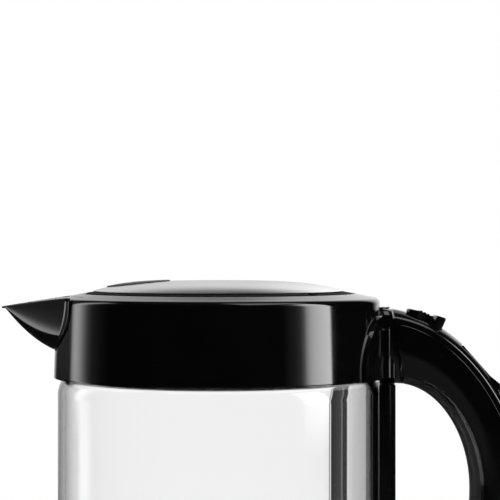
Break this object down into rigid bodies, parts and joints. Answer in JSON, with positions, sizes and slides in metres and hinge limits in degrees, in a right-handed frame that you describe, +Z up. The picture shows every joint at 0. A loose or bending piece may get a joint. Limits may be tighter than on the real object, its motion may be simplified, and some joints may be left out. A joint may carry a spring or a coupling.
{
  "type": "cordless electric kettle",
  "caption": "Cordless glass kettle with black collar and beak spout, domed lid hinged inside the rim, D-shaped handle with lid button and switch, on a power base.",
  "frame": {"origin": "on the table under the jug's vertical axis, in the plane of the power base's rubber ring", "axes": "+Z up; the spout points to -X, the handle to +X"},
  "size_m": [0.2254, 0.1598, 0.2377],
  "materials": {
    "black_plastic": "high gloss",
    "dark_plastic": "fine satin",
    "rubber": "matt",
    "silicone": "satin",
    "glass": "clear",
    "steel": "satin brushed",
    "bright_steel": "polished",
    "aluminium": "cast",
    "element_sheath": "drawn, heat tinted",
    "brass": "plain",
    "brown_plastic": "moulded",
    "lid_plastic": "satin",
    "lid_lens": "high gloss",
    "wire": "silicone sleeve"
  },
  "bodies": {
    "power_base": {"base_foot_ring": "rubber", "base_plate": "dark_plastic", "base_cover": "black_plastic", "base_connector": "dark_plastic", "base_contacts": "brass", "base_screws": "bright_steel", "cord_gland": "rubber"},
    "jug": {"lower_housing": "black_plastic", "bottom_cover": "dark_plastic", "bottom_screws": "bright_steel", "jug_connector": "dark_plastic", "thermostat": "brown_plastic", "heat_spreader": "aluminium", "heating_element": "element_sheath", "heater_plate": "steel", "glass_seal": "silicone", "glass_jug": "glass", "neck_seal": "silicone", "collar": "black_plastic", "hinge_pins": "bright_steel", "handle_shell": "black_plastic", "handle_cover": "black_plastic", "handle_liner": "dark_plastic", "handle_spine": "black_plastic", "handle_wires": "wire", "steam_control": "brown_plastic"},
    "lid": {"lid_frame": "dark_plastic", "lid_disc": "steel", "lid_grip": "lid_lens", "lid_seal": "silicone", "lid_drum": "lid_plastic", "lid_underplate": "steel", "lid_hood": "lid_plastic", "lid_latch": "lid_plastic"},
    "spout_filter": {"filter_frame": "dark_plastic", "filter_mesh": "steel"},
    "lid_button": {"button_cap": "black_plastic", "button_stem": "dark_plastic"},
    "lid_release": {"release_slide": "dark_plastic"},
    "power_switch": {"switch_paddle": "black_plastic"}
  },
  "joints": [
    {"name": "jug_lift", "type": "slide", "parent": "power_base", "child": "jug", "axis": [0, 0, 1], "range_m": [0, 0.06]},
    {"name": "lid_hinge", "type": "hinge", "parent": "jug", "child": "lid", "pos_m": [0.0409, 0, 0.2296], "axis": [0, 1, 0], "range_deg": [0, 88]},
    {"name": "filter_pull", "type": "slide", "parent": "jug", "child": "spout_filter", "axis": [1, 0, 0], "range_m": [0, 0.01]},
    {"name": "button_press", "type": "slide", "parent": "jug", "child": "lid_button", "axis": [-0.4173, 0, -0.9088], "range_m": [0, 0.0025], "stiffness_N_per_m": 500},
    {"name": "release_pull", "type": "slide", "parent": "jug", "child": "lid_release", "axis": [1, 0, 0], "range_m": [0, 0.002]},
    {"name": "switch_press", "type": "hinge", "parent": "jug", "child": "power_switch", "pos_m": [0.10404, 0, 0.20587], "axis": [0, 1, 0], "range_deg": [0, 4]}
  ],
  "couplings": [
    {"joint": "release_pull", "follows": "button_press", "ratio": 0.8}
  ]
}
